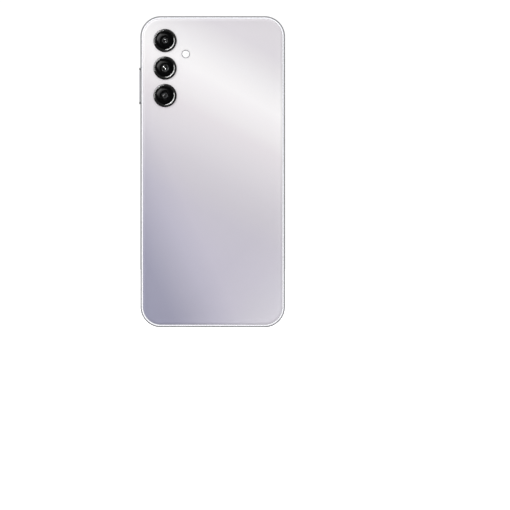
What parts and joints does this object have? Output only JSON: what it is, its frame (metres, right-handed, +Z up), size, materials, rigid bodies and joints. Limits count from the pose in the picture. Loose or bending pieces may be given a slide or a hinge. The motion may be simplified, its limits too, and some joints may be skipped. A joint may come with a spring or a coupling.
{
  "type": "smartphone",
  "caption": "Flat smartphone with a silver side frame, a pale lilac back with raised black camera rings and a round flash, and side keys.",
  "frame": {"origin": "middle of the bottom edge, in the mid-plane of the side frame's thickness", "axes": "+Z up the length to the top edge, +Y out of the screen with the camera side facing -Y, keys at -X, SIM tray at +X"},
  "size_m": [0.0786, 0.0101, 0.1677],
  "materials": {
    "pearl_back": "pearlescent silver with a pale lilac tint, high gloss",
    "adhesive": "black foam tape",
    "silver_frame": "silver paint, satin gloss, with a bright chamfer",
    "alloy": "cast alloy, matt",
    "black_ring": "anodised black, polished bevel",
    "camera_window": "dark glass",
    "clear_lens": "clear moulded lens",
    "led": "yellow phosphor",
    "screen_glass": "black backed cover glass, high gloss",
    "panel": "dark liquid crystal panel",
    "steel": "plain stamped steel",
    "flex": "amber polyimide film",
    "mesh": "fine woven mesh",
    "sensor": "silver coated sensor",
    "dome": "spring steel domes",
    "seal": "black rubber",
    "bright_steel": "bright plated steel",
    "board": "green solder mask",
    "chip": "black moulded package",
    "connector": "cream connector with plated contacts",
    "module": "black moulded housing",
    "lens_black": "black lens barrel",
    "cone": "grey film",
    "cable": "white coaxial cable",
    "cell": "black wrapped cell",
    "white_adhesive": "white stretch tape",
    "weight": "dense sintered weight",
    "bracket": "black moulded cover"
  },
  "bodies": {
    "phone": {"rear_cover": "pearl_back", "rear_cover_adhesive": "adhesive", "mid_frame": "silver_frame", "mid_plate": "alloy", "upper_camera_ring": "black_ring", "main_camera_ring": "black_ring", "lower_camera_ring": "black_ring", "upper_camera_glass": "camera_window", "main_camera_glass": "camera_window", "lower_camera_glass": "camera_window", "flash_lens": "clear_lens", "flash_led": "led", "cover_glass": "screen_glass", "lcd_panel": "panel", "backlight_unit": "steel", "display_adhesive": "adhesive", "display_flex": "flex", "earpiece_mesh": "mesh", "key_flex": "flex", "volume_domes": "dome", "power_dome": "dome", "sim_reader": "steel", "eject_lever_pin": "bright_steel", "main_board": "board", "processor": "chip", "radio_shield": "steel", "power_shield": "steel", "board_connectors": "connector", "main_camera_housing": "module", "depth_camera": "module", "macro_camera": "module", "front_camera": "module", "earpiece_housing": "module", "top_microphone": "connector", "bottom_microphone": "connector", "loudspeaker_box": "module", "speaker_mesh": "mesh", "headphone_jack": "module", "usb_shell": "bright_steel", "usb_tongue": "module", "sub_board": "board", "main_flex": "flex", "antenna_cable": "cable", "battery": "cell", "battery_adhesive": "white_adhesive", "motor_can": "steel", "upper_bracket": "bracket", "lower_bracket": "bracket", "screws": "bright_steel"},
    "volume_key": {"volume_key": "silver_frame"},
    "power_key": {"power_key": "silver_frame", "fingerprint_sensor": "sensor"},
    "sim_tray": {"sim_tray": "silver_frame", "sim_tray_seal": "seal"},
    "eject_plunger": {"eject_plunger": "steel"},
    "eject_lever": {"eject_lever": "steel"},
    "camera_barrel": {"main_camera_barrel": "lens_black"},
    "loudspeaker_diaphragm": {"loudspeaker_diaphragm": "cone"},
    "earpiece_diaphragm": {"earpiece_diaphragm": "cone"},
    "motor_rotor": {"motor_rotor": "weight"}
  },
  "joints": [
    {"name": "volume_rock", "type": "hinge", "parent": "phone", "child": "volume_key", "pos_m": [-0.03575, -0.0003, 0.1301], "axis": [0, 1, 0], "range_deg": [-1.7, 1.7], "stiffness_Nm_per_rad": 0.35, "deforming": ["volume_domes"]},
    {"name": "power_press", "type": "slide", "parent": "phone", "child": "power_key", "axis": [1, 0, 0], "range_m": [0, 0.00025], "stiffness_N_per_m": 6000, "springref_m": -0.0001, "deforming": ["power_dome"]},
    {"name": "tray_slide", "type": "slide", "parent": "phone", "child": "sim_tray", "axis": [1, 0, 0], "range_m": [0, 0.028]},
    {"name": "eject_push", "type": "slide", "parent": "phone", "child": "eject_plunger", "axis": [-1, 0, 0], "range_m": [0, 0.0015]},
    {"name": "eject_lever_turn", "type": "hinge", "parent": "phone", "child": "eject_lever", "pos_m": [0.0076, -0.00045, 0.1285], "axis": [0, 1, 0], "range_deg": [0, 14.1]},
    {"name": "focus", "type": "slide", "parent": "phone", "child": "camera_barrel", "axis": [0, -1, 0], "range_m": [0, 0.0003], "stiffness_N_per_m": 200, "springref_m": -0.0001},
    {"name": "loudspeaker_move", "type": "slide", "parent": "phone", "child": "loudspeaker_diaphragm", "axis": [0, 1, 0], "range_m": [-0.00015, 0.0003], "stiffness_N_per_m": 800},
    {"name": "earpiece_move", "type": "slide", "parent": "phone", "child": "earpiece_diaphragm", "axis": [0, 1, 0], "range_m": [-0.00015, 0.00015], "stiffness_N_per_m": 400},
    {"name": "motor_spin", "type": "hinge", "parent": "phone", "child": "motor_rotor", "pos_m": [0.011, -0.00065, 0.0145], "axis": [0, 1, 0], "continuous": true}
  ],
  "couplings": [
    {"joint": "eject_lever_turn", "follows": "eject_push", "rad_per_m": 164}
  ]
}
